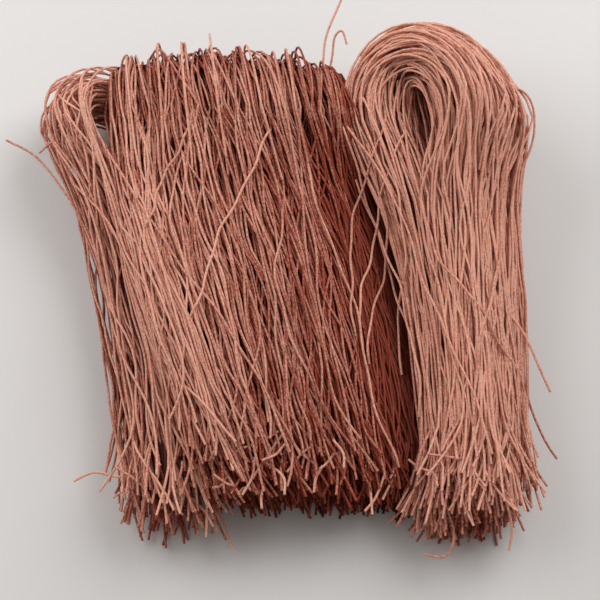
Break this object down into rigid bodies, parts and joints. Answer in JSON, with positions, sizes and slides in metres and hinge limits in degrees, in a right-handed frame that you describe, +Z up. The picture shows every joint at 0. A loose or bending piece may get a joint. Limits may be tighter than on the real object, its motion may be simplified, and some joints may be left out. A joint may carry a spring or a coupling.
{
  "type": "block of dried rice vermicelli",
  "caption": "Block of dried pinkish rice vermicelli lying flat: bundles of long thin noodles, looped over at one end and raggedly cut at the other, dried together side by side.",
  "frame": {"origin": "centre of the bounding box's underside, on the flat back that the block lies on", "axes": "+X runs across the block, +Y along the noodles from their cut ends to the folds, +Z up, out of the side that shows"},
  "size_m": [0.2739, 0.2954, 0.0857],
  "materials": {
    "rice_noodle": "matt, slightly see-through dried rice noodle with a fine pale grain"
  },
  "bodies": {
    "root": {"vermicelli_block": "rice_noodle"}
  },
  "joints": []
}
